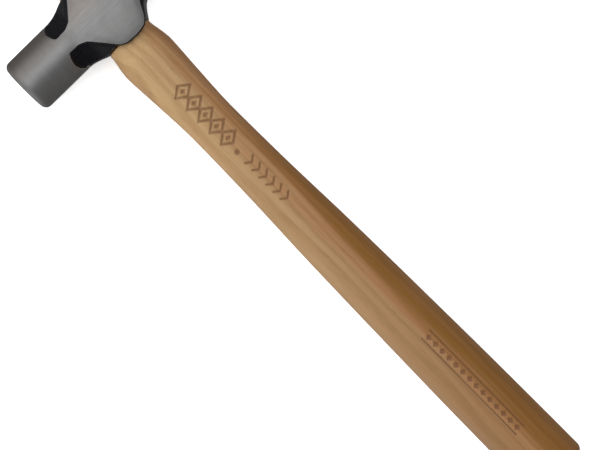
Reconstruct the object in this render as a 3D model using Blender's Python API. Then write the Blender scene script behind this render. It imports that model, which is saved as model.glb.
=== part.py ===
"""Cross peen hammer: a forged steel head on a hickory handle, held by a wedged eye.

Metres, +Z up. The hammer lies on its side: +X runs along the handle from the head to
the butt, -Y is the round striking face, +Y the cross peen. The origin is the middle
of the bounding box's underside.

Pieces: hammer_head, handle, wooden_wedge, steel_wedge_face_side, steel_wedge_peen_side.
"""

import math

import bmesh
import bpy
import numpy as np

MM = 0.001

# Driving dimensions. The head's own lengths are measured from the eye's centre:
# along = distance towards the face (negative towards the peen), up = distance from
# the head's axis along the handle, out = distance from the hammer's middle plane.
FACE_RADIUS = 13.5 * MM
FACE_REACH = 49.7 * MM
PEEN_REACH = 47.0 * MM
HANDLE_REACH = 291.6 * MM
EAR_HEIGHT = 20.4 * MM
CHEEK_FLAT = 12.9 * MM
GAP = 0.3 * MM

# Striking face: a turned cylinder with a rounded corner and a slightly crowned face.
FACE_CORNER = 3.1 * MM
FACE_FLAT_RADIUS = 8.0 * MM
FACE_CROWN = 0.3 * MM

# Cross peen: two ground planes that meet in a round nose.
PEEN_ROOT_HEIGHT = 8.8 * MM
PEEN_ROOT = -24.4 * MM
PEEN_NOSE = 2.6 * MM
PEEN_CORNER = 2.4 * MM
PEEN_STARTS = -18.0 * MM

# Forged body: half height of the block, and half height of the cheek's ground flat.
BODY_HEIGHT = [
    (-24.4, 8.4), (-20.5, 8.5), (-17.6, 9.5), (-11.7, 16.1), (-9.5, 17.5), (9.0, 17.5),
    (11.2, 16.4), (13.0, 15.9), (15.3, 14.9), (17.5, 14.1), (20.0, 13.5), (24.9, 13.3),
]
CHEEK_HEIGHT = [
    (-24.4, 4.6), (-20.5, 4.8), (-15.1, 9.4), (-11.5, 16.3), (-7.1, 19.3), (-2.6, 19.8),
    (1.8, 19.3), (6.2, 16.1), (10.7, 10.4), (15.1, 5.5), (19.0, 4.2), (24.9, 4.1),
]
FORGED_WIDTH = 14.0 * MM
FORGED_ROUNDING = 1.2 * MM
GROUND_ROUNDING = 0.3 * MM
EAR_RIM = 0.6 * MM
EAR_GAP_HALF = 9.2 * MM
EAR_GAP_DRAFT = 0.07
EAR_GAP_FLOOR = 16.15 * MM
EAR_GAP_TOP = 24.0 * MM
EAR_GAP_REACH = 16.0 * MM
POCKET_ENDS = ((-23.6 * MM, -26.2 * MM), (24.6 * MM, 27.2 * MM))
POCKET_LIFT = 4.0 * MM
TURNED_BLEND = (16.0 * MM, 23.0 * MM)

# Eye: half length and half width, waisted so that the wedged handle can't pull out.
EYE_LENGTH = [(-21.0, 10.9), (-16.8, 10.7), (3.0, 9.4), (16.2, 10.0), (21.0, 10.2)]
EYE_WIDTH = [(-21.0, 7.9), (-16.8, 7.7), (3.0, 6.5), (16.2, 7.0), (21.0, 7.2)]
EYE_POWER = 2.3

# Handle, measured along the handle from the head's axis.
TENON_TOP = -17.6 * MM
SHOULDER = 16.5 * MM
SHOULDER_ROUND = 0.6 * MM
BUTT_ROUND = 3.8 * MM
GRIP_DRIFT = 1.0 * MM
HANDLE_POWER = 2.25
HANDLE_WIDTH = [
    (16.5, 11.8), (26.5, 13.2), (29.5, 13.45), (33.0, 13.3), (48.0, 12.4), (70.0, 11.45),
    (100.0, 11.85), (145.0, 13.3), (190.0, 14.25), (240.0, 15.0), (291.6, 15.3),
]
HANDLE_THICKNESS = [
    (16.5, 8.5), (20.5, 8.6), (29.5, 9.9), (48.0, 9.3), (70.0, 8.7),
    (100.0, 9.0), (145.0, 10.0), (190.0, 10.7), (240.0, 11.2), (291.6, 11.4),
]

# Wedges, measured down from the tenon's top.
WOOD_WEDGE_DEPTH = 24.0 * MM
WOOD_WEDGE_TOP = 4.2 * MM
WOOD_WEDGE_TIP = 1.2 * MM
KERF_DEPTH = 25.0 * MM
STEEL_WEDGE_DEPTH = 15.0 * MM
STEEL_WEDGE_TOP = 2.4 * MM
STEEL_WEDGE_TIP = 0.8 * MM
STEEL_WEDGE_WIDTH = 9.6 * MM
STEEL_WEDGE_BARB = 0.25 * MM
STEEL_WEDGE_BARBS = 4
BARB_LENGTH = 0.98
STEEL_WEDGE_OFFSET = 5.0 * MM
STEEL_WEDGE_TURN = math.radians(14)

# Where the eye's centre lies in the part's frame. Every piece is placed from there.
EYE = (
    EAR_HEIGHT - (EAR_HEIGHT + HANDLE_REACH) / 2,
    (FACE_REACH - PEEN_REACH) / 2,
    FACE_RADIUS,
)

# Segments around a quarter of the head's section, and around the handle.
TOP_STEPS = 3
FACET_STEPS = 8
SIDE_STEPS = 3
HANDLE_AROUND = 40

# Where the eye and the handle are cut into sections.
EYE_STATIONS = np.linspace(-21 * MM, 21 * MM, 15)
TENON_STATIONS = np.linspace(TENON_TOP, SHOULDER, 9)
SWELL_STATIONS = np.array([20.5, 25, 28, 30.5, 34, 40, 48, 58, 70, 85]) * MM
GRIP_STATIONS = [*SWELL_STATIONS, *np.linspace(100 * MM, HANDLE_REACH - BUTT_ROUND, 11)]

SHARP_EDGE = math.radians(35)
WELD_DISTANCE = 0.001 * MM


# --- numbers ----------------------------------------------------------------------


def smooth_curve(points_mm, at):
    """Reads a smooth curve through the points, which never overshoots them."""
    xs, ys = np.array(points_mm, float).T * MM
    steps = np.diff(xs)
    slopes = np.diff(ys) / steps
    tangents = np.zeros(len(xs))
    for i in range(1, len(xs) - 1):
        if slopes[i - 1] * slopes[i] > 0:
            before = 2 * steps[i] + steps[i - 1]
            after = steps[i] + 2 * steps[i - 1]
            tangents[i] = (before + after) / (before / slopes[i - 1] + after / slopes[i])
    at = np.clip(at, xs[0], xs[-1])
    i = np.clip(np.searchsorted(xs, at) - 1, 0, len(steps) - 1)
    t = (at - xs[i]) / steps[i]
    rise = (3 - 2 * t) * t * t
    leave = tangents[i] * steps[i] * t * (1 - t) ** 2
    arrive = tangents[i + 1] * steps[i] * t * t * (1 - t)
    return ys[i] + (ys[i + 1] - ys[i]) * rise + leave - arrive


def smooth_step(start, end, at):
    t = np.clip((at - start) / (end - start), 0, 1)
    return t * t * (3 - 2 * t)


def smooth_max(a, b, rounding):
    """The larger of a and b, with their crossing rounded off."""
    near = np.maximum(rounding - np.abs(a - b), 0) / rounding
    return np.maximum(a, b) + near * near * rounding / 4


def arc_drop(radius, into):
    """How far a rounded corner of this radius has dropped, this far into it."""
    into = np.clip(into, 0, radius)
    return radius - np.sqrt(radius * radius - into * into)


# --- the head's shape --------------------------------------------------------------


def forged_surface(along, up, out):
    """Signed distance, roughly, outside the forged blank: octagonal necks that widen
    into the eye block, tall enough for the ears."""
    cheek = smooth_curve(CHEEK_HEIGHT, along)
    body = smooth_curve(BODY_HEIGHT, along)
    height = np.abs(up) - np.maximum(body, cheek + EAR_RIM)
    width = np.abs(out) - FORGED_WIDTH
    facet = (np.abs(up) + np.abs(out) - cheek - CHEEK_FLAT) / math.sqrt(2)
    blank = smooth_max(smooth_max(height, width, FORGED_ROUNDING), facet, FORGED_ROUNDING)
    return blank - POCKET_LIFT * sum(smooth_step(*end, along) for end in POCKET_ENDS)


def peen_half_height(along):
    """The peen's two planes, tangent to its round nose."""
    centre = PEEN_NOSE - PEEN_REACH
    run = PEEN_ROOT - centre
    slant = math.hypot(run, PEEN_ROOT_HEIGHT)
    taper = math.atan2(PEEN_ROOT_HEIGHT, run) - math.asin(PEEN_NOSE / slant)
    plane = PEEN_ROOT_HEIGHT + (along - PEEN_ROOT) * math.tan(taper)
    tangent = centre - PEEN_NOSE * math.sin(taper)
    nose = np.sqrt(np.maximum(PEEN_NOSE**2 - (along - centre) ** 2, 0))
    return np.where(along < tangent, nose, plane)


def turned_radius(along):
    corner = FACE_REACH - FACE_CROWN - FACE_CORNER
    return FACE_RADIUS - arc_drop(FACE_CORNER, along - corner)


def ground_surface(along, up, out):
    """Signed distance outside what grinding leaves: the turned face end, the flat
    cheeks and the wedge of the peen."""
    turned = np.hypot(up, out) - turned_radius(along)
    tip = PEEN_REACH - PEEN_CORNER
    flat = np.abs(out) - CHEEK_FLAT + arc_drop(PEEN_CORNER, -along - tip)
    share = smooth_step(*TURNED_BLEND, along)
    side = flat * (1 - share) + turned * share
    if along > PEEN_STARTS:
        return side
    return smooth_max(side, np.abs(up) - peen_half_height(along), GROUND_ROUNDING)


def quadrant(along):
    """Points on the quarter section's outline, closest together at its corners."""
    if along < PEEN_ROOT:
        height = float(peen_half_height(along))
        chamfer = height / 8
        corner_out, corner_up = CHEEK_FLAT - chamfer, height - chamfer
    else:
        corner_up = float(smooth_curve(CHEEK_HEIGHT, along))
        height = max(float(smooth_curve(BODY_HEIGHT, along)), corner_up + EAR_RIM)
        corner_out = corner_up + CHEEK_FLAT - height
    ups, outs = [], []
    for k in range(TOP_STEPS):
        ups.append(height)
        outs.append(corner_out * math.sin(math.pi / 2 * k / TOP_STEPS))
    for k in range(FACET_STEPS):
        share = (1 - math.cos(math.pi * k / FACET_STEPS)) / 2
        ups.append(height + (corner_up - height) * share)
        outs.append(corner_out + (CHEEK_FLAT - corner_out) * share)
    for k in range(SIDE_STEPS + 1):
        ups.append(corner_up * math.cos(math.pi / 2 * k / SIDE_STEPS))
        outs.append(CHEEK_FLAT)
    return np.array(ups), np.array(outs)


def head_ring(along):
    """One cross-section of the head, found by bisection along rays from its axis."""
    ups, outs = quadrant(along)
    ups = np.concatenate([ups, -ups[-2::-1], -ups[1:], ups[-2:0:-1]])
    outs = np.concatenate([outs, outs[-2::-1], -outs[1:], -outs[-2:0:-1]])
    low, high = np.zeros(len(ups)), np.full(len(ups), 8.0)
    for _ in range(40):
        middle = (low + high) / 2
        place = along, ups * middle, outs * middle
        outside = np.maximum(forged_surface(*place), ground_surface(*place)) > 0
        high = np.where(outside, middle, high)
        low = np.where(outside, low, middle)
    return [(u, -along, o) for u, o in zip(ups * low, outs * low)]


def head_stations():
    """Where the head is cut into sections, from the peen's nose to the face's corner."""
    quarter = np.linspace(0, math.pi / 2, 6)
    nose = -PEEN_REACH + PEEN_NOSE * (1 - np.cos(quarter[1:]))
    wedge = np.linspace(nose[-1], POCKET_ENDS[0][1], 6)[1:]
    middle = np.arange(-25.4, 26.6, 1.3) * MM
    body = np.linspace(POCKET_ENDS[1][1], FACE_REACH - FACE_CROWN - FACE_CORNER, 4)
    corner = body[-1] + FACE_CORNER * np.sin(quarter[1:-1])
    return np.concatenate([nose, wedge, middle, body, corner])


# --- Blender helpers ---------------------------------------------------------------


def material(name, colour, roughness, metallic):
    made = bpy.data.materials.new(name)
    made.use_nodes = True
    shader = made.node_tree.nodes["Principled BSDF"]
    shader.inputs["Base Color"].default_value = (*colour, 1)
    shader.inputs["Roughness"].default_value = roughness
    shader.inputs["Metallic"].default_value = metallic
    return made


def add_object(name, data, collection, shift=(0, 0, 0)):
    """Places a mesh at the eye's centre, or this far from it."""
    made = bpy.data.objects.new(name, data)
    made.location = [start + move for start, move in zip(EYE, shift)]
    collection.objects.link(made)
    return made


def loft(name, rings, collection):
    """A closed solid skinned over unlike sections that have equally many points."""
    mesh = bmesh.new()
    skin = [[mesh.verts.new(point) for point in ring] for ring in rings]
    for lower, upper in zip(skin, skin[1:]):
        for i, corner in enumerate(lower):
            mesh.faces.new((lower[i - 1], corner, upper[i], upper[i - 1]))
    mesh.faces.new(skin[0])
    mesh.faces.new(skin[-1])
    bmesh.ops.recalc_face_normals(mesh, faces=mesh.faces)
    data = bpy.data.meshes.new(name)
    mesh.to_mesh(data)
    mesh.free()
    data.shade_smooth()
    data.set_sharp_from_angle(angle=SHARP_EDGE)
    return add_object(name, data, collection)


def extrusion(name, outline, depth, collection, shift, turn):
    """A flat outline thickened along its own Z, then turned about the handle's axis."""
    curve = bpy.data.curves.new(name, "CURVE")
    curve.dimensions = "2D"
    curve.fill_mode = "BOTH"
    curve.extrude = depth / 2
    spline = curve.splines.new("POLY")
    spline.points.add(len(outline) - 1)
    for point, (x, y) in zip(spline.points, outline):
        point.co = (x, y, 0, 1)
    spline.use_cyclic_u = True
    flat = bpy.data.objects.new(name, curve)
    collection.objects.link(flat)
    evaluated = flat.evaluated_get(bpy.context.evaluated_depsgraph_get())
    data = bpy.data.meshes.new_from_object(evaluated)
    bpy.data.objects.remove(flat)
    mesh = bmesh.new()
    mesh.from_mesh(data)
    bmesh.ops.remove_doubles(mesh, verts=mesh.verts, dist=WELD_DISTANCE)
    mesh.to_mesh(data)
    mesh.free()
    made = add_object(name, data, collection, shift)
    made.rotation_euler.x = turn
    return made


def combine(target, other, operation):
    modifier = target.modifiers.new(f"{operation.lower()}_{other.name}", "BOOLEAN")
    modifier.object = other
    modifier.operation = operation


# --- pieces ------------------------------------------------------------------------


def oval(x, half_length, half_width, power, drift=0.0):
    """A superellipse across the handle's axis, at x along it."""
    turn = np.arange(HANDLE_AROUND) * math.tau / HANDLE_AROUND
    c, s = np.cos(turn), np.sin(turn)
    y = half_length * np.sign(c) * np.abs(c) ** (2 / power) + drift
    z = half_width * np.sign(s) * np.abs(s) ** (2 / power)
    return [(x, *point) for point in zip(y, z)]


def eye_ring(x, inset=0.0):
    length = float(smooth_curve(EYE_LENGTH, x)) - inset
    width = float(smooth_curve(EYE_WIDTH, x)) - inset
    return oval(x, length, width, EYE_POWER)


def handle_ring(x, inset=0.0):
    length = float(smooth_curve(HANDLE_WIDTH, x)) - inset
    width = float(smooth_curve(HANDLE_THICKNESS, x)) - inset
    return oval(x, length, width, HANDLE_POWER, GRIP_DRIFT * x / HANDLE_REACH)


def cut_ear_gap(head, name, side, collection):
    """Leaves the cheeks standing as ears, one each side. The gap widens outwards."""
    opening = EAR_GAP_HALF + EAR_GAP_DRAFT * (EAR_GAP_TOP - EAR_GAP_FLOOR)
    outline = [
        (side * EAR_GAP_FLOOR, -EAR_GAP_HALF), (side * EAR_GAP_TOP, -opening),
        (side * EAR_GAP_TOP, opening), (side * EAR_GAP_FLOOR, EAR_GAP_HALF),
    ]
    gap = extrusion(name, outline, 2 * EAR_GAP_REACH, collection, (0, 0, 0), math.pi / 2)
    combine(head, gap, "DIFFERENCE")


def make_head(collection, cutters):
    stations = head_stations()
    rings = [head_ring(along) for along in stations]
    shrink = FACE_FLAT_RADIUS / turned_radius(stations[-1])
    rings.append([(x * shrink, -FACE_REACH, z * shrink) for x, _, z in rings[-1]])
    head = loft("hammer_head", rings, collection)
    eye = loft("eye", [eye_ring(x) for x in EYE_STATIONS], cutters)
    combine(head, eye, "DIFFERENCE")
    cut_ear_gap(head, "ear_gap_at_top", -1, cutters)
    cut_ear_gap(head, "ear_gap_at_handle", 1, cutters)
    return head


def make_handle(collection):
    """The tenon, a small round into the shoulder, the grip and the rounded butt."""
    tenon = [eye_ring(x, GAP) for x in TENON_STATIONS]
    shoulder = [
        handle_ring(
            SHOULDER + SHOULDER_ROUND * (1 - math.cos(turn)),
            SHOULDER_ROUND * (1 - math.sin(turn)),
        )
        for turn in np.linspace(0, math.pi / 2, 3)
    ]
    grip = [handle_ring(x) for x in GRIP_STATIONS]
    butt = [
        handle_ring(
            GRIP_STATIONS[-1] + BUTT_ROUND * math.sin(turn),
            BUTT_ROUND * (1 - math.cos(turn)),
        )
        for turn in np.linspace(0, math.pi / 2, 6)[1:]
    ]
    return loft("handle", tenon + shoulder + grip + butt, collection)


def taper(top, tip, depth, over=0.0):
    """A wedge's outline from just above the tenon's top down to its tip."""
    start = top + (top - tip) * over / depth
    return [(-over, -start / 2), (depth, -tip / 2), (depth, tip / 2), (-over, start / 2)]


def make_wooden_wedge(collection, cutters):
    """The wedge along the eye's length, trimmed to the tenon's own outline, and the
    saw kerf that it is driven into."""
    shift = (TENON_TOP, 0, 0)
    across = 4 * FACE_RADIUS
    outline = taper(WOOD_WEDGE_TOP, WOOD_WEDGE_TIP, WOOD_WEDGE_DEPTH)
    wedge = extrusion("wooden_wedge", outline, across, collection, shift, math.pi / 2)
    trim = loft("tenon_outline", [eye_ring(x, GAP) for x in EYE_STATIONS], cutters)
    combine(wedge, trim, "INTERSECT")
    outline = taper(WOOD_WEDGE_TOP + 2 * GAP, WOOD_WEDGE_TIP + 2 * GAP, KERF_DEPTH, GAP)
    kerf = extrusion("kerf", outline, across, cutters, shift, math.pi / 2)
    return wedge, kerf


def barbed_outline():
    """A steel wedge seen on edge: the barbs point up, so it can't back out."""
    left, right = [], []
    for tooth in range(STEEL_WEDGE_BARBS):
        for reach, barb in ((tooth, 0), (tooth + BARB_LENGTH, STEEL_WEDGE_BARB)):
            share = reach / STEEL_WEDGE_BARBS
            thick = STEEL_WEDGE_TOP + (STEEL_WEDGE_TIP - STEEL_WEDGE_TOP) * share
            left.append((share * STEEL_WEDGE_DEPTH, barb - thick / 2))
            right.append((share * STEEL_WEDGE_DEPTH, thick / 2 - barb))
    return left + right[::-1]


def make_steel_wedge(name, side, collection, cutters):
    """A barbed wedge driven across the wooden one. side is -1 by the face, 1 by the
    peen."""
    shift = (TENON_TOP, side * STEEL_WEDGE_OFFSET, 0)
    turn = side * STEEL_WEDGE_TURN
    wedge = extrusion(name, barbed_outline(), STEEL_WEDGE_WIDTH, collection, shift, turn)
    slot = extrusion(
        f"{name}_slot",
        taper(STEEL_WEDGE_TOP + 2 * GAP, STEEL_WEDGE_TIP + 2 * GAP, STEEL_WEDGE_DEPTH + GAP, GAP),
        STEEL_WEDGE_WIDTH + 2 * GAP, cutters, shift, turn,
    )
    return wedge, slot


def main():
    for old in list(bpy.data.objects):
        bpy.data.objects.remove(old)
    parts = bpy.data.collections.new("cross_peen_hammer")
    cutters = bpy.data.collections.new("cutters")
    for collection in (parts, cutters):
        bpy.context.scene.collection.children.link(collection)

    ground_steel = material("ground_steel", (0.34, 0.34, 0.34), 0.36, 1.0)
    hickory = material("hickory", (0.42, 0.27, 0.13), 0.42, 0.0)
    wedge_wood = material("wedge_wood", (0.50, 0.36, 0.20), 0.6, 0.0)
    wedge_steel = material("wedge_steel", (0.30, 0.30, 0.31), 0.5, 1.0)

    head = make_head(parts, cutters)
    head.data.materials.append(ground_steel)
    handle = make_handle(parts)
    handle.data.materials.append(hickory)
    wooden, kerf = make_wooden_wedge(parts, cutters)
    wooden.data.materials.append(wedge_wood)
    combine(handle, kerf, "DIFFERENCE")
    for name, side in (("steel_wedge_face_side", -1), ("steel_wedge_peen_side", 1)):
        wedge, slot = make_steel_wedge(name, side, parts, cutters)
        wedge.data.materials.append(wedge_steel)
        combine(handle, slot, "DIFFERENCE")
        combine(wooden, slot, "DIFFERENCE")

    for cutter in cutters.objects:
        cutter.hide_render = True
        cutter.display_type = "WIRE"


main()
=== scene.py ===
"""Looks for the cross peen hammer: fine meshes and node materials over the CAD frame.

The hammer lies on its side. +X runs along the handle to the butt, -Y is the striking
face, +Y the peen, +Z the cheek that faces up. Shapes are worked out in millimetres
from the eye's centre. A head section is taken at a distance 'along' towards the face
(negative towards the peen), with 'up' along the handle and 'out' across the thickness.
"""

import math

import bmesh
import bpy
import numpy as np
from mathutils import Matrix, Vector


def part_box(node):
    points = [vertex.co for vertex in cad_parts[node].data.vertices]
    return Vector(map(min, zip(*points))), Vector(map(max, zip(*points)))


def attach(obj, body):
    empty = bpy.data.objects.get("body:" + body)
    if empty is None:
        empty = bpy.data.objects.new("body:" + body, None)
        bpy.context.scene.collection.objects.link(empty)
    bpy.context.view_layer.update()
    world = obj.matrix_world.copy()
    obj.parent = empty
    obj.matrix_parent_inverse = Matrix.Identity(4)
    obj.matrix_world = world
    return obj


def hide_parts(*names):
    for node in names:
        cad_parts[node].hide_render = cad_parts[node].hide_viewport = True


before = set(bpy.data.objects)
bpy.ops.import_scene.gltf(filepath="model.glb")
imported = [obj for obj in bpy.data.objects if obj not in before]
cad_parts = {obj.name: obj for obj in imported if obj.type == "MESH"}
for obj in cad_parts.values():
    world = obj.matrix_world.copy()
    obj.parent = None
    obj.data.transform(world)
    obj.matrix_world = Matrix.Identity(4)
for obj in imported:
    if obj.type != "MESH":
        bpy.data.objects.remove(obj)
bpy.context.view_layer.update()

MM = 0.001

# --- sizes in millimetres -------------------------------------------------------------
# They are the CAD's, except for changes to the head of up to about 1 mm that follow the
# photograph more closely: where the face end turns round, the outlines of cheek and
# body, the forged width, the ears' rims, the pockets' ends, and the cheek's crown and roll.

FACE_REACH, PEEN_REACH, CAD_EAR_HEIGHT = 49.7, 47.0, 20.4
FACE_RADIUS, FACE_CORNER, FACE_CROWN = 13.5, 3.1, 0.3
TURNED_BLEND = (14.5, 21.5)
PEEN_ROOT, PEEN_ROOT_HEIGHT, PEEN_NOSE, PEEN_CORNER = -24.4, 8.8, 2.6, 2.4
PEEN_STARTS, PEEN_ROUNDING, PEEN_CHAMFER = -18.0, 0.25, 0.25
CHEEK_HEIGHT = [
    (-24.4, 4.6), (-20.5, 4.8), (-15.1, 9.2), (-11.5, 15.6), (-8.7, 18.1), (-3.6, 18.9),
    (1.5, 18.6), (4.6, 17.1), (7.6, 13.7), (10.7, 10.0), (15.1, 5.5), (19.0, 4.2), (24.9, 4.1),
]
BODY_HEIGHT = [
    (-24.4, 8.4), (-20.5, 8.5), (-17.6, 9.5), (-11.7, 16.5), (-10.0, 18.3), (7.0, 17.6),
    (11.2, 16.0), (13.0, 15.6), (15.3, 14.8), (17.5, 14.1), (20.0, 13.5), (24.9, 13.3),
]
FORGED_WIDTH, FORGED_ROUNDING = 14.2, 1.2

# The cheek, where it is crowned and where it rolls off. A fade is (none, full), and
# past CROWN_ENDS, towards the peen, the crown drops no further.
CHEEK_FLAT, CHEEK_CROWN, CROWN_REACH = 12.9, 0.4, 20
CROWN_ENDS, CROWN_FADE = -16, (24, 12)
CHEEK_ROLL, ROLL_WIDTH = 0.65, 8.0
ROLL_FACE_FADE, ROLL_PEEN_FADE, CHEEK_SIDE_FADE = (18, 8), (-22, -13), (10, 12.5)

# The ears, and the gap between them, on whose floor the eye opens.
EAR_RIM, EAR_GAP, EAR_GAP_SHARE, EAR_WALL_LEAN, GAP_FLOOR = 0.5, 9.2, 0.7, 0.3, 16.15
EAR_PEEN_END, EAR_FACE_END = (-12.2, -13.4), (7.4, 9.2)

# The painted hollows end where the blank is lifted clear of the ground metal. Their end
# by the face is bowed into a U, by the angle round the head in radians.
POCKET_PEEN_END, POCKET_FACE_END, POCKET_LIFT = (-23.6, -26.2), (24.5, 27.0), 4.0
POCKET_BOW, POCKET_MIDDLE, POCKET_SPREAD, POCKET_LIMIT = 1.5, 0.8, 0.5, 2

# The eye, its rounded rim, and the painted part of the gap round it.
EYE_LENGTH = [(-21.0, 10.9), (-16.8, 10.7), (3.0, 9.4), (16.2, 10.0), (21.0, 10.2)]
EYE_WIDTH = [(-21.0, 7.9), (-16.8, 7.7), (3.0, 6.5), (16.2, 7.0), (21.0, 7.2)]
EYE_POWER, EYE_OVERSHOOT, EYE_WAIST = 2.3, 8, 13
EYE_RIM, EYE_RIM_DEPTH, EYE_RIM_SHARE = 0.5, 0.12, 0.3
PAINTED_GAP_LENGTH, PAINTED_GAP_WIDTH, NEAR_FLOOR = 12, 8.4, 0.1

# The number "bright" is roughly how far into the ground metal a point lies. Below 0 it
# is painted.
WELL_BRIGHT, PAINTED, ON_FLAT = 3.0, -1, 0.01

HANDLE_WIDTH = [
    (16.5, 11.8), (26.5, 13.2), (29.5, 13.45), (33.0, 13.3), (48.0, 12.4), (70.0, 11.45),
    (100.0, 11.85), (145.0, 13.3), (190.0, 14.25), (240.0, 15.0), (291.6, 15.3),
]
HANDLE_THICKNESS = [
    (16.5, 8.5), (20.5, 8.6), (29.5, 9.9), (48.0, 9.3), (70.0, 8.7),
    (100.0, 9.0), (145.0, 10.0), (190.0, 10.7), (240.0, 11.2), (291.6, 11.4),
]
HANDLE_POWER = 2.25
TENON_TOP, SHOULDER, HANDLE_REACH = -17.6, 16.5, 291.6
TENON_ROUND, SHOULDER_ROUND = 0.5, 0.6
BUTT_ROUND, BUTT_CROWN, GRIP_DRIFT = 3.8, 0.15, 1.0

# A wedge is its thickness at the top, its thickness at the tip and its length.
WOOD_WEDGE, WOOD_WEDGE_BLANK, WOOD_WEDGE_SPAN = (4.2, 1.2, 24.0), 60, (-19, 10)
KERF_DEPTH = 25.0
STEEL_WEDGE, STEEL_WEDGE_WIDTH = (2.4, 0.8, 15.0), 9.6
STEEL_WEDGE_BARB, STEEL_WEDGE_BARBS, BARB_SHARE = 0.25, 4, 0.98
STEEL_WEDGE_OFFSET, STEEL_WEDGE_TURN = 5.0, math.radians(14)
GAP, WEDGE_BEVEL = 0.3, 0.12

# The burnt marks. A row is how many, the first one's x, the pitch and y.
DIAMOND_ROW, DIAMOND, DIAMOND_CORE, DIAMOND_LINE = (5, 51.4, 7.2, 0.5), (3.3, 4.4), (1.0, 1.4), 0.5
DOT_X, DOT_Y, DOT_RADIUS = 87.6, -1.2, 1.15
CHEVRON_ROW, CHEVRON_LENGTH, CHEVRON_HALF, CHEVRON_LINE = (6, 93.6, 4.5, 0.4), 1.9, 2.5, 0.42
BEAD_ROW, BEAD = (14, 206.3, 4.31, 1.9), (1.5, 1.3)
BORDER_START, BORDER_END, BORDER_HALF, BORDER_LINE = 204.4, 264.2, 2.6, 0.3
BURN_DEPTH, BURN_WALL, BURN_SHADE = 0.24, (0.22, -0.16), (0.3, -0.1)

# --- how finely the meshes are made ---------------------------------------------------

SECTION_ROUNDING = (1.2, 0.5, 0.9, 0.12)
SECTION_STEPS, SECTION_FILLET_STEPS = (9, 3, 4, 18, 8), (4, 5, 5, 4)
LEAST_FILLET, MOST_OF_A_SIDE = 0.06, 0.45
SEARCH_REACH, SEARCH_HALVINGS = 8.0, 36
HEAD_CORNER_STEPS, PEEN_STATIONS, FACE_STATIONS = 12, 22, 14
HEAD_SPAN, PEEN_STATIONS_END = (-26.3, 27.0, 0.3), -26.6
FACE_RINGS, BUTT_RINGS = (0.95, 0.88, 0.75, 0.55, 0.3, 0.1), (0.85, 0.6, 0.3, 0.1)
EYE_POINTS, EYE_RINGS, WOOD_WEDGE_POINTS, WOOD_WEDGE_RINGS = 160, 7, 72, 15
MARKED_SHARE, MARKED_POINTS, PLAIN_POINTS = 0.52, 47, 62
TENON_RINGS, CORNER_RINGS, BUTT_CORNER_RINGS = 14, 5, 12
MARKED_SPANS = (46.5, 122.0, 0.3), (203.0, 266.0, 0.3)
PLAIN_SPANS = (17.6, 46, 0.9), (123, 202.5, 1.4), (267, HANDLE_REACH - BUTT_ROUND, 1.2)
SHARP, WEDGE_SHARP, BEVEL_ANGLE, BEVEL_SEGMENTS = 38, 30, 40, 2

# --- colours --------------------------------------------------------------------------

STEEL, WARM_STEEL, DARKENED_STEEL = (0.54, 0.54, 0.542), (0.575, 0.51, 0.475), (0.25, 0.245, 0.24)
SMUDGED, TOOL_LINE, STREAKED = (0.30, 0.295, 0.29), (0.34, 0.34, 0.345), (0.33, 0.33, 0.33)
PAINT, THIN_PAINT = (0.004, 0.004, 0.0055), (0.007, 0.007, 0.0085)
WEDGE_STEEL, WEDGE_RUST = (0.36, 0.35, 0.34), (0.20, 0.15, 0.11)
# Sapwood, sapwood darkened by painted shade by the butt, the heartwood's edge and heartwood, and the
# pith's y and z.
HICKORY = (0.42, 0.27, 0.128), (0.268, 0.150, 0.068), (0.325, 0.162, 0.067), (0.195, 0.082, 0.010)
BEECH = (0.48, 0.34, 0.21), (0.44, 0.30, 0.18), (0.40, 0.25, 0.13), (0.28, 0.16, 0.08)
HICKORY_PITH, BEECH_PITH = (46.0, -30.0), (3.0, 40.0)
# The grain's darkening also gives the painted shade along the handle's far edge.
SOOT, GRAIN_AND_EDGE_SHADE_DARKENING, FIBRE_LIGHTENING = (0.10, 0.040, 0.018), (0.70, 0.62, 0.55), 1.3
END_GRAIN_SHADE, END_PORE_SHADE = 0.72, 0.8
FLOOR_SHADES = (0.90, 0.90, 0.90), (0.93, 0.93, 0.93)

# --- stage, light and camera, in metres -----------------------------------------------

FLOOR_REACH, FLOOR_DROP, FLOOR_GRAIN, FLOOR_GLOW = 4, 0.2 * MM, 900.0, 0.6
# A glow is the way to its middle, the cosines where it starts and is full, and strength.
GLOWS = [((-0.50, -0.1, 1.0), (0.5, 0.98), 0.35), ((-0.08, -0.05, 1.0), (0.92, 0.992), 0.52)]
ROOM_HEIGHTS, ROOM_STRENGTHS = (-0.1, 0.6), (0.125, 0.145)
WALL_DIRECTIONS, WALL_STRENGTH, BACKDROP_STRENGTH = (0.3, 0.95), 0.26, 0.95
WORLD_COLOUR = (1.0, 1.0, 0.995, 1)
# A softbox is its place, its size and its power in watts.
SOFTBOXES = {
    "key_softbox": ((-0.75, -0.95, 0.85), 1.6, 20),
    "far_softbox": ((-0.1, 0.6, 1.3), 1.2, 9.0),
}
CAMERA_DISTANCE, FRAME_WIDTH, SENSOR_WIDTH = 0.95, 0.270, 36
CAMERA_AIM, CAMERA_TURN = (130.4, -4.0, 0), math.radians(45.5)

head_low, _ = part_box("hammer_head")
EYE = np.array(head_low) / MM + (CAD_EAR_HEIGHT, FACE_REACH, FACE_RADIUS)


# --- numbers --------------------------------------------------------------------------


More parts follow.
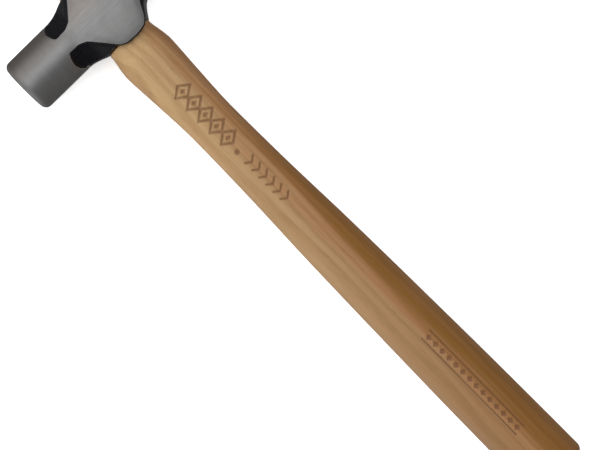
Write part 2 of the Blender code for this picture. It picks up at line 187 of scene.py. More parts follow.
def smooth_curve(points, at):
    """Reads a smooth curve through the points, which never overshoots them."""
    xs, ys = np.array(points, float).T
    steps = np.diff(xs)
    slopes = np.diff(ys) / steps
    tangents = np.zeros(len(xs))
    for i in range(1, len(xs) - 1):
        if slopes[i - 1] * slopes[i] > 0:
            before = 2 * steps[i] + steps[i - 1]
            after = steps[i] + 2 * steps[i - 1]
            tangents[i] = (before + after) / (before / slopes[i - 1] + after / slopes[i])
    at = np.clip(at, xs[0], xs[-1])
    i = np.clip(np.searchsorted(xs, at) - 1, 0, len(steps) - 1)
    t = (at - xs[i]) / steps[i]
    rise = (3 - 2 * t) * t * t
    leave = tangents[i] * steps[i] * t * (1 - t) ** 2
    arrive = tangents[i + 1] * steps[i] * t * t * (1 - t)
    return ys[i] + (ys[i + 1] - ys[i]) * rise + leave - arrive


def smooth_step(start, end, at):
    """From 0 at start to 1 at end. It falls where end is the lower one."""
    t = np.clip((at - start) / (end - start), 0, 1)
    return t * t * (3 - 2 * t)


def smooth_max(a, b, rounding):
    """The larger of two, with the corner between them rounded."""
    near = np.maximum(rounding - np.abs(a - b), 0) / rounding
    return np.maximum(a, b) + near * near * rounding / 4


def arc_drop(radius, into):
    """How far a rounded corner has dropped, this far into it."""
    into = np.clip(into, 0, radius)
    return radius - np.sqrt(radius * radius - into * into)


# --- the head's shape -----------------------------------------------------------------


def forged_surface(along, up, out):
    """Signed distance, roughly, outside the forged blank. The hollows by the necks
    end in a U where the ground face end and the peen take over."""
    cheek = smooth_curve(CHEEK_HEIGHT, along)
    body = np.minimum(smooth_curve(BODY_HEIGHT, along), GAP_FLOOR)
    height = np.abs(up) - np.maximum(body, cheek + EAR_RIM)
    width = np.abs(out) - FORGED_WIDTH
    facet = (np.abs(up) + np.abs(out) - cheek - CHEEK_FLAT) / math.sqrt(2)
    blank = smooth_max(smooth_max(height, width, FORGED_ROUNDING), facet, FORGED_ROUNDING)
    off_middle = (np.arctan2(np.abs(out), np.abs(up)) - POCKET_MIDDLE) / POCKET_SPREAD
    bow = POCKET_BOW * np.minimum(off_middle**2, POCKET_LIMIT)
    lift = smooth_step(*POCKET_PEEN_END, along) + smooth_step(*POCKET_FACE_END, along + bow)
    return blank - POCKET_LIFT * lift


def peen_half_height(along):
    """Half the peen's height: straight flanks that run into its round nose."""
    centre = PEEN_NOSE - PEEN_REACH
    run = PEEN_ROOT - centre
    slant = math.hypot(run, PEEN_ROOT_HEIGHT)
    taper = math.atan2(PEEN_ROOT_HEIGHT, run) - math.asin(PEEN_NOSE / slant)
    plane = PEEN_ROOT_HEIGHT + (along - PEEN_ROOT) * math.tan(taper)
    tangent = centre - PEEN_NOSE * math.sin(taper)
    nose = np.sqrt(np.maximum(PEEN_NOSE**2 - (along - centre) ** 2, 0))
    return np.where(along < tangent, nose, plane)


def turned_radius(along):
    """The face end's radius, with its rounded corner."""
    corner = FACE_REACH - FACE_CROWN - FACE_CORNER
    return FACE_RADIUS - arc_drop(FACE_CORNER, along - corner)


def ground_surface(along, up, out):
    """Signed distance outside what grinding leaves."""
    turned = np.hypot(up, out) - turned_radius(along)
    tip = PEEN_REACH - PEEN_CORNER
    flat = np.abs(out) - CHEEK_FLAT + arc_drop(PEEN_CORNER, -along - tip)
    share = smooth_step(*TURNED_BLEND, along)
    side = flat * (1 - share) + turned * share
    wedge = smooth_max(side, np.abs(up) - peen_half_height(along), PEEN_ROUNDING)
    return np.where(along > PEEN_STARTS, side, wedge)


def rounded(corners, radii, steps, fillet_steps):
    """Walks an open polygon, rounding each inner corner with a small curve."""
    corners = [np.array(c, float) for c in corners]
    lengths = [np.linalg.norm(b - a) for a, b in zip(corners, corners[1:])]
    points = []
    start = corners[0]
    for i, radius in enumerate(radii, 1):
        before = (corners[i] - corners[i - 1]) / lengths[i - 1]
        after = (corners[i + 1] - corners[i]) / lengths[i]
        turn = math.acos(max(-1, min(1, float(before @ after))))
        reach = max(radius * math.tan(turn / 2), LEAST_FILLET)
        reach = min(reach, MOST_OF_A_SIDE * lengths[i - 1], MOST_OF_A_SIDE * lengths[i])
        a, b, c = corners[i] - before * reach, corners[i], corners[i] + after * reach
        for k in range(steps[i - 1]):
            points.append(start + (a - start) * k / steps[i - 1])
        for k in range(fillet_steps[i - 1]):
            t = k / fillet_steps[i - 1]
            points.append(a * (1 - t) ** 2 + 2 * b * t * (1 - t) + c * t * t)
        start = c
    for k in range(steps[-1] + 1):
        points.append(start + (corners[-1] - start) * k / steps[-1])
    return np.array(points)


def quarter_section(along):
    """The quarter outline from the top's middle to the side's middle: the floor of the
    ear gap, the ear's wall, its top, the forged facet and the ground side."""
    if along < PEEN_ROOT:
        floor = top = float(peen_half_height(along))
        chamfer = min(PEEN_CHAMFER, top / 8)
        facet_out, facet_up = CHEEK_FLAT - chamfer, top - chamfer
    else:
        facet_up = float(smooth_curve(CHEEK_HEIGHT, along))
        floor = min(float(smooth_curve(BODY_HEIGHT, along)), GAP_FLOOR)
        top = max(floor, facet_up + EAR_RIM)
        facet_out = facet_up + CHEEK_FLAT - top
    gap = min(EAR_GAP, facet_out * EAR_GAP_SHARE)
    corners = [
        (floor, 0), (floor, gap), (top, gap + EAR_WALL_LEAN), (top, facet_out),
        (facet_up, CHEEK_FLAT), (0, CHEEK_FLAT),
    ]
    return rounded(corners, SECTION_ROUNDING, SECTION_STEPS, SECTION_FILLET_STEPS)


def head_section(along):
    """A quarter section, and how far into the bright ground metal each point lies. Away
    from the ears, each point moves along its ray to what forging and grinding leave."""
    quarter = quarter_section(along)
    ups, outs = quarter.T
    low, high = np.zeros(len(ups)), np.full(len(ups), SEARCH_REACH)
    for _ in range(SEARCH_HALVINGS):
        middle = (low + high) / 2
        place = along, ups * middle, outs * middle
        outside = np.maximum(forged_surface(*place), ground_surface(*place)) > 0
        high = np.where(outside, middle, high)
        low = np.where(outside, low, middle)
    no_ears = max(smooth_step(*EAR_PEEN_END, along), smooth_step(*EAR_FACE_END, along))
    section = quarter * (1 - no_ears) + quarter * low[:, None] * no_ears
    up, out = section.T
    bright = ground_surface(along, up, out) - forged_surface(along, up, out)
    cheek = float(smooth_curve(CHEEK_HEIGHT, along))
    off_flat = -np.hypot(up - cheek, out - CHEEK_FLAT)
    by_ear = np.where(out > CHEEK_FLAT - ON_FLAT, cheek - up, off_flat) / math.sqrt(2)
    crown = (up / CROWN_REACH) ** 2 + (max(along, CROWN_ENDS) / CROWN_REACH) ** 2
    crown = CHEEK_CROWN * crown * smooth_step(*CROWN_FADE, along)
    roll = CHEEK_ROLL * np.clip(1 - (cheek - up) / ROLL_WIDTH, 0, 1) ** 2
    roll *= smooth_step(*ROLL_FACE_FADE, along) * smooth_step(*ROLL_PEEN_FADE, along)
    section[:, 1] -= (crown + roll) * smooth_step(*CHEEK_SIDE_FADE, out)
    return section, bright * no_ears + by_ear * (1 - no_ears)


def all_quarters(rows):
    """Mirrors a quarter section into the whole ring. Numbers with no sign just repeat."""
    signs = (1, 1), (-1, 1), (-1, -1), (1, -1)
    a, b, c, d = (rows * sign if rows.ndim > 1 else rows for sign in signs)
    return np.concatenate([a, b[-2::-1], c[1:], d[-2:0:-1]])


def head_stations():
    """Where the head's sections are taken, from the peen's nose to the face's corner."""
    quarter = np.linspace(0, math.pi / 2, HEAD_CORNER_STEPS)
    nose = -PEEN_REACH + PEEN_NOSE * (1 - np.cos(quarter[1:]))
    wedge = np.linspace(nose[-1], PEEN_STATIONS_END, PEEN_STATIONS)[1:]
    middle = np.arange(*HEAD_SPAN)
    turned = np.linspace(HEAD_SPAN[1], FACE_REACH - FACE_CROWN - FACE_CORNER, FACE_STATIONS)
    corner = turned[-1] + FACE_CORNER * np.sin(quarter[1:-1])
    return np.concatenate([nose, wedge, middle, turned, corner])


# --- mesh helpers ---------------------------------------------------------------------


def loft(name, rings, values=None):
    """A closed solid over rings of equally many points, with numbers at the points."""
    rings = np.array(rings, float)
    count, around, _ = rings.shape
    index = np.arange(count * around).reshape(count, around)
    lower, upper = index[:-1], index[1:]
    corners = [np.roll(lower, 1, 1), lower, upper, np.roll(upper, 1, 1)]
    quads = np.stack(corners, -1).reshape(-1, 4)
    faces = [*map(tuple, quads), tuple(index[0]), tuple(index[-1][::-1])]
    data = bpy.data.meshes.new(name)
    data.from_pydata(((rings.reshape(-1, 3) + EYE) * MM).tolist(), [], faces)
    mesh = bmesh.new()
    mesh.from_mesh(data)
    bmesh.ops.recalc_face_normals(mesh, faces=mesh.faces)
    mesh.to_mesh(data)
    mesh.free()
    for label, numbers in (values or {}).items():
        layer = data.attributes.new(label, "FLOAT", "POINT")
        layer.data.foreach_set("value", np.array(numbers, np.float32).ravel())
    made = bpy.data.objects.new(name, data)
    bpy.context.scene.collection.objects.link(made)
    return made


def prism(name, outline, depth, turn, shift):
    """An outline in x and y, thickened along z, turned about the handle's axis."""
    c, s = math.cos(turn), math.sin(turn)
    rings = []
    for z in (-depth / 2, depth / 2):
        rings.append([
            (x + shift[0], y * c - z * s + shift[1], y * s + z * c + shift[2]) for x, y in outline
        ])
    return loft(name, rings)


def apply_modifiers(target):
    """Puts the result of the modifiers in the mesh, and takes them off."""
    evaluated = target.evaluated_get(bpy.context.evaluated_depsgraph_get())
    data = bpy.data.meshes.new_from_object(evaluated)
    target.modifiers.clear()
    old = target.data
    target.data = data
    bpy.data.meshes.remove(old)


def cut(target, cutter, operation="DIFFERENCE"):
    """Cuts one solid with another, which is used up."""
    modifier = target.modifiers.new("cut", "BOOLEAN")
    modifier.object = cutter
    modifier.operation = operation
    modifier.solver = "MANIFOLD"
    apply_modifiers(target)
    bpy.data.objects.remove(cutter)


def bevel(target, width, degrees):
    modifier = target.modifiers.new("bevel", "BEVEL")
    modifier.width = width * MM
    modifier.segments = BEVEL_SEGMENTS
    modifier.limit_method = "ANGLE"
    modifier.angle_limit = math.radians(degrees)
    apply_modifiers(target)


def shade(target, degrees):
    target.data.shade_smooth()
    target.data.set_sharp_from_angle(angle=math.radians(degrees))


def local_points(target):
    """Every vertex in millimetres from the eye's centre."""
    points = np.zeros(len(target.data.vertices) * 3, np.float32)
    target.data.vertices.foreach_get("co", points)
    return points.reshape(-1, 3) / MM - EYE


def set_numbers(target, label, numbers):
    layer = target.data.attributes.get(label)
    if layer is None:
        layer = target.data.attributes.new(label, "FLOAT", "POINT")
    layer.data.foreach_set("value", np.array(numbers, np.float32))


def get_numbers(target, label):
    numbers = np.zeros(len(target.data.vertices), np.float32)
    target.data.attributes[label].data.foreach_get("value", numbers)
    return numbers


def oval(x, half_length, half_width, power, turn, drift=0.0):
    """A superellipse across the handle's axis."""
    c, s = np.cos(turn), np.sin(turn)
    y = half_length * np.sign(c) * np.abs(c) ** (2 / power) + drift
    z = half_width * np.sign(s) * np.abs(s) ** (2 / power)
    return np.stack([np.full(len(y), x), y, z], -1)


def eye_ring(x, turn, grow):
    """A ring round the eye, this much bigger all round."""
    length = float(smooth_curve(EYE_LENGTH, x)) + grow
    width = float(smooth_curve(EYE_WIDTH, x)) + grow
    return oval(x, length, width, EYE_POWER, turn)


def handle_ring(x, turn, inset=0.0):
    """A ring round the handle, this much smaller all round."""
    length = float(smooth_curve(HANDLE_WIDTH, x)) - inset
    width = float(smooth_curve(HANDLE_THICKNESS, x)) - inset
    return oval(x, length, width, HANDLE_POWER, turn, GRIP_DRIFT * x / HANDLE_REACH)


# --- pieces ---------------------------------------------------------------------------


def make_head():
    rings, bright = [], []
    for along in head_stations():
        section, numbers = head_section(along)
        rings.append([(up, -along, out) for up, out in all_quarters(section)])
        bright.append(all_quarters(numbers))
    last = np.array(rings[-1])
    for share in FACE_RINGS:
        rings.append(last * (share, 0, share) + (0, FACE_CROWN * share**2 - FACE_REACH, 0))
        bright.append(np.full(len(last), WELL_BRIGHT))
    head = loft("hammer_head_fine", rings, {"bright": bright})
    turn = np.arange(EYE_POINTS) * math.tau / EYE_POINTS
    ends = [
        (GAP_FLOOR + EYE_OVERSHOOT, EYE_RIM), (GAP_FLOOR, EYE_RIM),
        (GAP_FLOOR - EYE_RIM_DEPTH, EYE_RIM_SHARE * EYE_RIM), (GAP_FLOOR - EYE_RIM, 0),
    ]
    profile = [(-x, grow) for x, grow in ends]
    profile += [(x, 0) for x in np.linspace(-EYE_WAIST, EYE_WAIST, EYE_RINGS)]
    profile += ends[::-1]
    cut(head, loft("eye_cutter", [eye_ring(x, turn, grow) for x, grow in profile]))
    numbers = get_numbers(head, "bright")
    x, y, z = np.abs(local_points(head)).T
    in_gap = (x < GAP_FLOOR + NEAR_FLOOR) & (y < PAINTED_GAP_LENGTH) & (z < PAINTED_GAP_WIDTH)
    numbers[in_gap] = PAINTED
    set_numbers(head, "bright", numbers)
    shade(head, SHARP)
    return head


def dense_turn():
    """Angles round the handle, closest together on the marked side, +Z."""
    shares = np.linspace(MARKED_SHARE, -MARKED_SHARE, MARKED_POINTS)
    marked = np.arccos(np.sign(shares) * np.abs(shares) ** (HANDLE_POWER / 2))
    rest = np.linspace(marked[-1], math.tau + marked[0], PLAIN_POINTS)[1:-1]
    return np.concatenate([marked, rest])


def diamond(x, y, half_x, half_y):
    """Distance outside a diamond."""
    scale = half_x * half_y / math.hypot(half_x, half_y)
    return (np.abs(x) / half_x + np.abs(y) / half_y - 1) * scale


def segment(x, y, x0, y0, x1, y1):
    """Distance from a straight line between two points."""
    dx, dy = x1 - x0, y1 - y0
    t = np.clip(((x - x0) * dx + (y - y0) * dy) / (dx * dx + dy * dy), 0, 1)
    return np.hypot(x - x0 - t * dx, y - y0 - t * dy)


def burn_distance(x, y):
    """How far a point lies outside the burnt marks: a row of nested diamonds and a dot,
    a row of chevrons, and a beaded border near the butt."""
    marks = [np.hypot(x - DOT_X, y - DOT_Y) - DOT_RADIUS]
    count, first, pitch, middle = DIAMOND_ROW
    for k in range(count):
        dx, dy = x - (first + pitch * k), y - middle
        marks.append(np.abs(diamond(dx, dy, *DIAMOND)) - DIAMOND_LINE)
        marks.append(diamond(dx, dy, *DIAMOND_CORE))
    count, first, pitch, middle = CHEVRON_ROW
    for k in range(count):
        back = first + pitch * k
        for half in (-CHEVRON_HALF, CHEVRON_HALF):
            line = segment(x, y, back, middle + half, back + CHEVRON_LENGTH, middle)
            marks.append(line - CHEVRON_LINE)
    count, first, pitch, middle = BEAD_ROW
    for k in range(count):
        marks.append(diamond(x - (first + pitch * k), y - middle, *BEAD))
    for edge in (middle - BORDER_HALF, middle + BORDER_HALF):
        marks.append(segment(x, y, BORDER_START, edge, BORDER_END, edge) - BORDER_LINE)
    return np.min(marks, 0)


def wedge_outline(sizes, grow=0.0, over=0.0):
    """A wedge seen on edge, from its top down to its tip."""
    top, tip, depth = sizes
    start = top + (top - tip) * over / depth
    return [
        (-over, -start / 2 - grow), (depth, -tip / 2 - grow),
        (depth, tip / 2 + grow), (-over, start / 2 + grow),
    ]


def barbed_outline():
    """A steel wedge seen on edge, with a sawtooth barb at each step."""
    top, tip, depth = STEEL_WEDGE
    left, right = [], []
    for tooth in range(STEEL_WEDGE_BARBS):
        for reach, barb in ((tooth, 0), (tooth + BARB_SHARE, STEEL_WEDGE_BARB)):
            share = reach / STEEL_WEDGE_BARBS
            half = (top + (tip - top) * share) / 2
            left.append((share * depth, barb - half))
            right.append((share * depth, half - barb))
    return left + right[::-1]


def steel_wedge_slot(side):
    """What is cut for a steel wedge, with the gap round it."""
    top, tip, depth = STEEL_WEDGE
    outline = wedge_outline((top, tip, depth + GAP), GAP, GAP)
    shift = (TENON_TOP, side * STEEL_WEDGE_OFFSET, 0)
    return prism("slot", outline, STEEL_WEDGE_WIDTH + 2 * GAP, side * STEEL_WEDGE_TURN, shift)


def make_handle():
    turn = dense_turn()
    corner = np.linspace(0, math.pi / 2, CORNER_RINGS)
    rings = []
    for a in corner:
        x = TENON_TOP + TENON_ROUND * (1 - math.cos(a))
        rings.append(eye_ring(x, turn, -GAP - TENON_ROUND * (1 - math.sin(a))))
    tenon = np.linspace(TENON_TOP + 2 * TENON_ROUND, SHOULDER, TENON_RINGS)
    rings += [eye_ring(x, turn, -GAP) for x in tenon]
    for a in corner:
        x = SHOULDER + SHOULDER_ROUND * (1 - math.cos(a))
        rings.append(handle_ring(x, turn, SHOULDER_ROUND * (1 - math.sin(a))))
    for x in np.sort(np.concatenate([np.arange(*span) for span in MARKED_SPANS + PLAIN_SPANS])):
        ring = handle_ring(x, turn)
        depth = BURN_DEPTH * smooth_step(*BURN_WALL, burn_distance(ring[:, 0], ring[:, 1]))
        ring[:, 2] -= np.where(ring[:, 2] > 0, depth, 0)
        rings.append(ring)
    for a in np.linspace(0, math.pi / 2, BUTT_CORNER_RINGS):
        x = HANDLE_REACH - BUTT_ROUND + (BUTT_ROUND - BUTT_CROWN) * math.sin(a)
        rings.append(handle_ring(x, turn, BUTT_ROUND * (1 - math.cos(a))))
    rim = rings[-1] - (0, GRIP_DRIFT, 0)
    for share in BUTT_RINGS:
        rings.append(rim * (1, share, share) + (BUTT_CROWN * (1 - share**2), GRIP_DRIFT, 0))
    handle = loft("handle_fine", rings)
    shift = (TENON_TOP, 0, 0)
    kerf = wedge_outline((*WOOD_WEDGE[:2], KERF_DEPTH), GAP, GAP)
    cut(handle, prism("kerf", kerf, WOOD_WEDGE_BLANK, math.pi / 2, shift))
    for side in (-1, 1):
        cut(handle, steel_wedge_slot(side))
    x, y, z = local_points(handle).T
    set_numbers(handle, "burnt", smooth_step(*BURN_SHADE, burn_distance(x, y)) * (z > 0))
    shade(handle, SHARP)
    return handle


def make_wooden_wedge():
    """The wooden wedge, trimmed to the eye and cut for the steel wedges."""
    blank = wedge_outline(WOOD_WEDGE)
    shift = (TENON_TOP, 0, 0)
    wedge = prism("wooden_wedge_fine", blank, WOOD_WEDGE_BLANK, math.pi / 2, shift)
    turn = np.arange(WOOD_WEDGE_POINTS) * math.tau / WOOD_WEDGE_POINTS
    places = np.linspace(*WOOD_WEDGE_SPAN, WOOD_WEDGE_RINGS)
    cut(wedge, loft("outline", [eye_ring(x, turn, -GAP) for x in places]), "INTERSECT")
    for side in (-1, 1):
        cut(wedge, steel_wedge_slot(side))
    bevel(wedge, WEDGE_BEVEL, BEVEL_ANGLE)
    shade(wedge, WEDGE_SHARP)
    return wedge


def make_steel_wedge(name, side):
    shift = (TENON_TOP, side * STEEL_WEDGE_OFFSET, 0)
    wedge = prism(name, barbed_outline(), STEEL_WEDGE_WIDTH, side * STEEL_WEDGE_TURN, shift)
    bevel(wedge, WEDGE_BEVEL, BEVEL_ANGLE)
    shade(wedge, WEDGE_SHARP)
    return wedge


# --- material helpers -----------------------------------------------------------------


def node(tree, kind, inputs=None, **settings):
    """Adds a node. An input is given by name or number, as a value or another socket."""
    made = tree.nodes.new("ShaderNode" + kind)
    for key, value in settings.items():
        setattr(made, key, value)
    for key, value in (inputs or {}).items():
        if isinstance(value, bpy.types.NodeSocket):
            tree.links.new(value, made.inputs[key])
        else:
            made.inputs[key].default_value = value
    return made


def calc(tree, operation, *values):
    return node(tree, "Math", dict(enumerate(values)), operation=operation).outputs[0]


def remap(tree, value, low, high, new_low=0.0, new_high=1.0, smooth=True):
    """Takes low..high to new_low..new_high, and holds the ends."""
    kind = "SMOOTHSTEP" if smooth else "LINEAR"
    inputs = {
        "Value": value, "From Min": low, "From Max": high, "To Min": new_low, "To Max": new_high,
    }
    return node(tree, "MapRange", inputs, interpolation_type=kind).outputs[0]


def blend(tree, share, a, b):
    """From colour a to colour b."""
    a, b = ((*v, 1) if isinstance(v, tuple) else v for v in (a, b))
    return node(tree, "Mix", {0: share, 6: a, 7: b}, data_type="RGBA").outputs[2]


def lerp(tree, share, a, b):
    """From number a to number b."""
    return node(tree, "Mix", {0: share, 2: a, 3: b}, data_type="FLOAT").outputs[0]


def millimetres(tree):
    """Object coordinates in millimetres from the eye's centre, whole and split."""
    place = node(tree, "TexCoord").outputs["Object"]
    scaled = node(tree, "VectorMath", {0: place, 1: (1 / MM,) * 3}, operation="MULTIPLY")
    moved = node(tree, "VectorMath", {0: scaled.outputs[0], 1: tuple(EYE)}, operation="SUBTRACT")
    split = node(tree, "SeparateXYZ", {0: moved.outputs[0]})
    return moved.outputs[0], *split.outputs


def noise(tree, place, per_mm, detail=2.0, rough=0.5, warp=0.0):
    """Noise with this many features to a millimetre, the same or given for each axis."""
    scale = per_mm if isinstance(per_mm, tuple) else (per_mm,) * 3
    moved = node(tree, "VectorMath", {0: place, 1: scale}, operation="MULTIPLY")
    inputs = {
        "Vector": moved.outputs[0], "Scale": 1.0, "Detail": detail, "Roughness": rough,
        "Distortion": warp,
    }
    return node(tree, "TexNoise", inputs).outputs["Fac"]


def bumps(tree, layers):
    """Stacks bump layers, each a height, its strength and its depth in millimetres."""
    normal = None
    for height, strength, depth in layers:
        inputs = {"Height": height, "Strength": strength, "Distance": depth * MM}
        if normal is not None:
            inputs["Normal"] = normal
        normal = node(tree, "Bump", inputs).outputs[0]
    return normal


def new_material(name):
    made = bpy.data.materials.new(name)
    made.use_nodes = True
    tree = made.node_tree
    return made, tree, tree.nodes["Principled BSDF"]


def connect(tree, shader, **sockets):
    names = {
        "colour": "Base Color", "roughness": "Roughness", "metallic": "Metallic",
        "normal": "Normal",
    }
    for key, value in sockets.items():
        socket = shader.inputs[names[key]]
        if isinstance(value, bpy.types.NodeSocket):
            tree.links.new(value, socket)
        else:
            socket.default_value = value


# --- materials ------------------------------------------------------------------------


def head_material():
    """Ground steel with tool lines, and glossy black paint in the forged hollows."""
    made, tree, shader = new_material("ground_and_painted_steel")
    place, x, y, _ = millimetres(tree)

    # Where the paint ends: by how deep the grinding went, with a ragged edge and chips.
    edge = node(tree, "Attribute", attribute_name="bright").outputs["Fac"]
    ragged = calc(tree, "MULTIPLY_ADD", noise(tree, place, 1.1, 3), 0.34, -0.17)
    chips = remap(tree, noise(tree, place, 1.9, 2), 0.70, 0.74, 0, 0.8)
    edge = calc(tree, "ADD", calc(tree, "ADD", edge, ragged), chips)
    bright = remap(tree, edge, -0.06, 0.08)

    # Tool lines: rings on the turned face end, and belt lines along the head elsewhere.
    on_turned = remap(tree, y, -23.0, -17.0, 1, 0)
    turned = {
        "W": calc(tree, "MULTIPLY", y, 2.3), "Scale": 1.0, "Detail": 4.0, "Roughness": 0.75,
    }
    rings = node(tree, "TexNoise", turned, noise_dimensions="1D").outputs["Fac"]
    belt = noise(tree, place, (2.6, 0.05, 2.6), 4, 0.7)
    lines = lerp(tree, on_turned, belt, rings)
    belt_streaks = noise(tree, place, (0.7, 0.04, 0.7), 3, 0.6)
    turned_streaks = noise(tree, place, (0.08, 0.9, 0.08), 3, 0.6)
    streaks = lerp(tree, on_turned, belt_streaks, turned_streaks)
    smudge = noise(tree, place, 0.09, 4, 0.6, warp=0.6)
    fine = noise(tree, place, 0.8, 3, 0.6)

    # Warmer away from the handle, and darker towards it and towards the peen.
    steel = blend(tree, remap(tree, x, 2.0, -10.0, 0, 0.9), STEEL, WARM_STEEL)
    steel_darkening = calc(tree, "MULTIPLY_ADD", smudge, 10.0, calc(tree, "MULTIPLY_ADD", y, 0.35, x))
    steel = blend(tree, remap(tree, steel_darkening, 2.0, 24.0, 0, 0.5), steel, DARKENED_STEEL)
    steel = blend(tree, remap(tree, smudge, 0.35, 0.7, 0, 0.16), steel, SMUDGED)
    steel = blend(tree, remap(tree, lines, 0.3, 0.75, 0.0, 0.30), steel, TOOL_LINE)
    steel = blend(tree, remap(tree, streaks, 0.3, 0.7, 0.0, 0.26), steel, STREAKED)
    paint = blend(tree, remap(tree, fine, 0.3, 0.8), PAINT, THIN_PAINT)
    colour = blend(tree, bright, paint, steel)

    steel_rough = calc(tree, "MULTIPLY_ADD", lines, 0.16, 0.31)
    steel_rough = calc(tree, "MULTIPLY_ADD", smudge, 0.10, steel_rough)
    paint_rough = remap(tree, smudge, 0.3, 0.7, 0.16, 0.28)
    roughness = lerp(tree, bright, paint_rough, steel_rough)

    line_height = calc(tree, "MULTIPLY", lines, bright)
    painted = calc(tree, "SUBTRACT", 1.0, bright)
    peel = calc(tree, "MULTIPLY", noise(tree, place, 0.55, 2, 0.5), painted)
    normal = bumps(tree, [(line_height, 0.5, 0.03), (peel, 0.35, 0.25)])
    connect(tree, shader, colour=colour, roughness=roughness, metallic=bright, normal=normal)
    shader.inputs["Specular IOR Level"].default_value = 0.2
    return made


def wood_material(name, shades, pith, marked):
    """Lacquered wood: growth rings round a far-off pith, long fibres and pores. It goes
    from sapwood to heartwood across y, and the sapwood darkens along x to the butt as
    painted shade for light that falls off along the handle."""
    made, tree, shader = new_material(name)
    sap, sap_shaded_by_butt, heart_edge, heart_shade = shades
    place, x, y, z = millimetres(tree)

    # Growth rings about 3 mm apart, with their porous early wood.
    wander = noise(tree, place, (0.012, 0.07, 0.07))
    wander = calc(tree, "MULTIPLY_ADD", wander, 7.0, -3.5)
    ring_y = calc(tree, "ADD", calc(tree, "SUBTRACT", y, pith[0]), wander)
    ring_y = calc(tree, "MULTIPLY_ADD", x, 0.018, ring_y)
    ring_z = calc(tree, "SUBTRACT", z, pith[1])
    squares = [calc(tree, "MULTIPLY", side, side) for side in (ring_y, ring_z)]
    radius = calc(tree, "SQRT", calc(tree, "ADD", *squares))
    ring = calc(tree, "FRACT", calc(tree, "DIVIDE", radius, 3.1))
    early = calc(tree, "MULTIPLY", remap(tree, ring, 0.0, 0.12), remap(tree, ring, 0.20, 0.75, 1, 0))

    fibre = noise(tree, place, (0.035, 2.4, 2.4), 4, 0.65)
    streak = noise(tree, place, (0.010, 0.30, 0.30), 3, 0.55)
    patch = noise(tree, place, (0.012, 0.09, 0.09))
    pore = remap(tree, noise(tree, place, (0.20, 5.0, 5.0), 1), 0.60, 0.70)
    pore = calc(tree, "MULTIPLY", pore, remap(tree, early, 0.0, 0.5, 0.35, 1))

    # Heartwood, whose edge wanders, and which widens and deepens towards the butt.
    across = calc(tree, "MULTIPLY_ADD", calc(tree, "SUBTRACT", patch, 0.5), 9.0, y)
    shift = [remap(tree, x, 20.0, 110.0, 5.0, 0.0), remap(tree, x, 110.0, 260.0, 0.0, -2.5)]
    across = calc(tree, "SUBTRACT", across, calc(tree, "ADD", *shift))
    most = remap(tree, x, 20.0, 110.0, 0.6, 1.0)
    heart = remap(tree, across, -6.0, 12.0, 0.0, most)
    heart = calc(tree, "ADD", heart, remap(tree, streak, 0.3, 0.7, -0.16, 0.16))
    # Painted shade: the sapwood darkens towards the butt as if less lit there.
    butt_shade_share = remap(tree, x, 40.0, 260.0, smooth=False)
    colour = blend(tree, butt_shade_share, sap, sap_shaded_by_butt)
    colour = blend(tree, remap(tree, heart, 0.0, 0.5, smooth=False), colour, heart_edge)
    colour = blend(tree, remap(tree, heart, 0.5, 1.0, smooth=False), colour, heart_shade)

    # The far edge gets painted shade; early wood, fibres and pores darken it, and some fibres are
    # paler.
    dark = tuple(c * k for c, k in zip(heart_shade, GRAIN_AND_EDGE_SHADE_DARKENING))
    light = tuple(min(1, c * FIBRE_LIGHTENING) for c in sap)
    # Painted shade: the far, +Y, edge is darkened in the colour as if turned away from the light.
    colour = blend(tree, remap(tree, y, 7.5, 14.0, 0, 0.45), colour, dark)
    colour = blend(tree, calc(tree, "MULTIPLY", early, 0.20), colour, dark)
    colour = blend(tree, remap(tree, fibre, 0.42, 0.75, 0, 0.26), colour, dark)
    colour = blend(tree, remap(tree, fibre, 0.40, 0.22, 0, 0.16), colour, light)
    colour = blend(tree, calc(tree, "MULTIPLY", pore, 0.34), colour, dark)

    # End grain, where the surface faces along the handle.
    facing = node(tree, "SeparateXYZ", {0: node(tree, "NewGeometry").outputs["Normal"]}).outputs[0]
    end_grain = remap(tree, calc(tree, "ABSOLUTE", facing), 0.75, 0.95)
    dots = remap(tree, noise(tree, place, (0.78, 2.6, 2.6), 1, 0.4), 0.60, 0.70)
    end_shade = tuple(c * END_GRAIN_SHADE for c in heart_edge)
    end = blend(tree, dots, end_shade, tuple(c * END_PORE_SHADE for c in dark))
    end = blend(tree, calc(tree, "MULTIPLY", early, 0.6), end, dark)
    colour = blend(tree, calc(tree, "MULTIPLY", end_grain, 0.85), colour, end)

    roughness = calc(tree, "MULTIPLY_ADD", fibre, 0.14, 0.42)
    roughness = calc(tree, "MULTIPLY_ADD", end_grain, 0.2, roughness)
    if marked:
        burnt = node(tree, "Attribute", attribute_name="burnt").outputs["Fac"]
        sooty = remap(tree, noise(tree, place, 0.9, 3), 0.25, 0.75, 0.50, 0.68)
        burnt = calc(tree, "MULTIPLY", burnt, sooty)
        colour = blend(tree, burnt, colour, SOOT)
        roughness = calc(tree, "MULTIPLY_ADD", burnt, 0.25, roughness)
    normal = bumps(tree, [(calc(tree, "MULTIPLY_ADD", pore, -0.8, fibre), 0.35, 0.06)])
    connect(tree, shader, colour=colour, roughness=roughness, normal=normal)
    shader.inputs["Coat Weight"].default_value = 0.05
    shader.inputs["Coat Roughness"].default_value = 0.32
    shader.inputs["Specular IOR Level"].default_value = 0.35
    return made


def wedge_steel_material():
    """Mild steel, dull, dented and browned in patches."""
    made, tree, shader = new_material("struck_wedge_steel")
    place = millimetres(tree)[0]
    mottle = noise(tree, place, 0.5, 4, 0.6, warp=0.5)
    colour = blend(tree, remap(tree, mottle, 0.35, 0.7), WEDGE_STEEL, WEDGE_RUST)
    roughness = remap(tree, mottle, 0.3, 0.7, 0.36, 0.62)
    dents = noise(tree, place, 0.45, 2, 0.4)
    normal = bumps(tree, [(dents, 0.5, 0.2), (noise(tree, place, 3, 2), 0.3, 0.03)])
    connect(tree, shader, colour=colour, roughness=roughness, metallic=1.0, normal=normal)
    return made


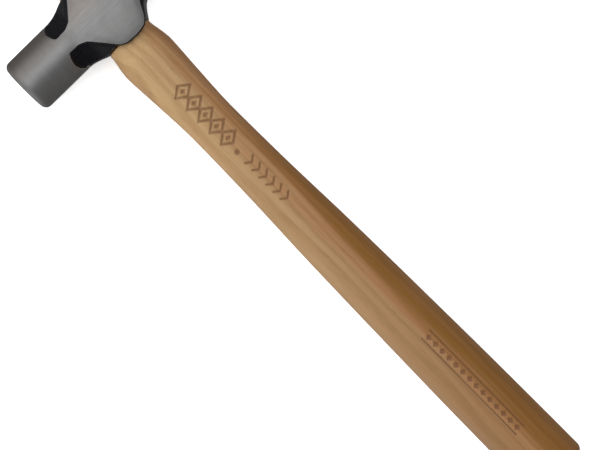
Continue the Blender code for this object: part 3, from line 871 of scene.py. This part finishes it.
def floor_material():
    """Pale and fine-grained, with a glow of its own that keeps shadows faint."""
    made, tree, shader = new_material("pale_floor")
    place = node(tree, "TexCoord").outputs["Object"]
    inputs = {"Vector": place, "Scale": FLOOR_GRAIN, "Detail": 2.0}
    grain = node(tree, "TexNoise", inputs).outputs["Fac"]
    colour = blend(tree, grain, *FLOOR_SHADES)
    connect(tree, shader, colour=colour, roughness=0.85)
    shader.inputs["Emission Color"].default_value = (1, 1, 1, 1)
    shader.inputs["Emission Strength"].default_value = FLOOR_GLOW
    return made


# --- floor, light and camera ----------------------------------------------------------


def make_floor():
    """A flat floor just under the hammer, kept out of reflections."""
    signs = (-1, -1), (1, -1), (1, 1), (-1, 1)
    corners = [(a * FLOOR_REACH, b * FLOOR_REACH, -FLOOR_DROP) for a, b in signs]
    data = bpy.data.meshes.new("floor")
    data.from_pydata(corners, [], [(0, 1, 2, 3)])
    floor = bpy.data.objects.new("floor", data)
    bpy.context.scene.collection.objects.link(floor)
    data.materials.append(floor_material())
    floor.visible_glossy = False


def make_world():
    """A dim room with two soft patches of light overhead, a broad one and its bright
    core, walls that glow at the face's and the peen's side, and a pale backdrop where
    the camera sees it directly."""
    world = bpy.data.worlds.new("studio")
    world.use_nodes = True
    tree = world.node_tree
    direction = node(tree, "TexCoord").outputs["Generated"]
    _, sideways, height = node(tree, "SeparateXYZ", {0: direction}).outputs
    glow = 0.0
    for centre, edges, strength in GLOWS:
        inputs = {0: direction, 1: tuple(Vector(centre).normalized())}
        facing = node(tree, "VectorMath", inputs, operation="DOT_PRODUCT").outputs["Value"]
        glow = calc(tree, "ADD", glow, remap(tree, facing, *edges, 0, strength))
    room = remap(tree, height, *ROOM_HEIGHTS, *ROOM_STRENGTHS)
    sideways = calc(tree, "ABSOLUTE", sideways)
    walls = remap(tree, sideways, *WALL_DIRECTIONS, 0, WALL_STRENGTH)
    strength = calc(tree, "ADD", calc(tree, "ADD", glow, room), walls)
    seen = node(tree, "LightPath").outputs["Is Camera Ray"]
    back = tree.nodes["Background"]
    back.inputs["Color"].default_value = WORLD_COLOUR
    tree.links.new(lerp(tree, seen, strength, BACKDROP_STRENGTH), back.inputs["Strength"])
    bpy.context.scene.world = world


def area_light(name, location, size, power):
    """A round softbox aimed at the origin, kept out of reflections."""
    data = bpy.data.lights.new(name, "AREA")
    data.shape = "DISK"
    data.size = size
    data.energy = power
    light = bpy.data.objects.new(name, data)
    light.location = location
    light.visible_glossy = False
    light.rotation_euler = (-Vector(location)).to_track_quat("-Z", "Y").to_euler()
    bpy.context.scene.collection.objects.link(light)


def make_camera():
    """Straight above, turned so that the hammer lies as in the photograph."""
    data = bpy.data.cameras.new("camera")
    data.sensor_width = SENSOR_WIDTH
    data.lens = SENSOR_WIDTH * CAMERA_DISTANCE / FRAME_WIDTH
    camera = bpy.data.objects.new("camera", data)
    camera.location = (EYE + CAMERA_AIM) * MM + (0, 0, CAMERA_DISTANCE)
    camera.rotation_euler = (0, 0, CAMERA_TURN)
    bpy.context.scene.collection.objects.link(camera)
    bpy.context.scene.camera = camera


def main():
    bpy.context.scene.view_settings.view_transform = "Standard"
    hickory = wood_material("lacquered_hickory", HICKORY, HICKORY_PITH, marked=True)
    beech = wood_material("wedge_beech", BEECH, BEECH_PITH, marked=False)
    wedge_steel = wedge_steel_material()
    pieces = [
        (make_head(), "hammer_head", "ground_steel", head_material()),
        (make_handle(), "handle", "hickory", hickory),
        (make_wooden_wedge(), "wooden_wedge", "wedge_wood", beech),
    ]
    for name, side in (("steel_wedge_face_side", -1), ("steel_wedge_peen_side", 1)):
        pieces.append((make_steel_wedge(name + "_fine", side), name, "wedge_steel", wedge_steel))
    for piece, cad_node, slot, material in pieces:
        piece.data.materials.clear()
        piece.data.materials.append(material)
        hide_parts(cad_node)
        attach(piece, "root")

    make_floor()
    make_world()
    for name, settings in SOFTBOXES.items():
        area_light(name, *settings)
    make_camera()


main()
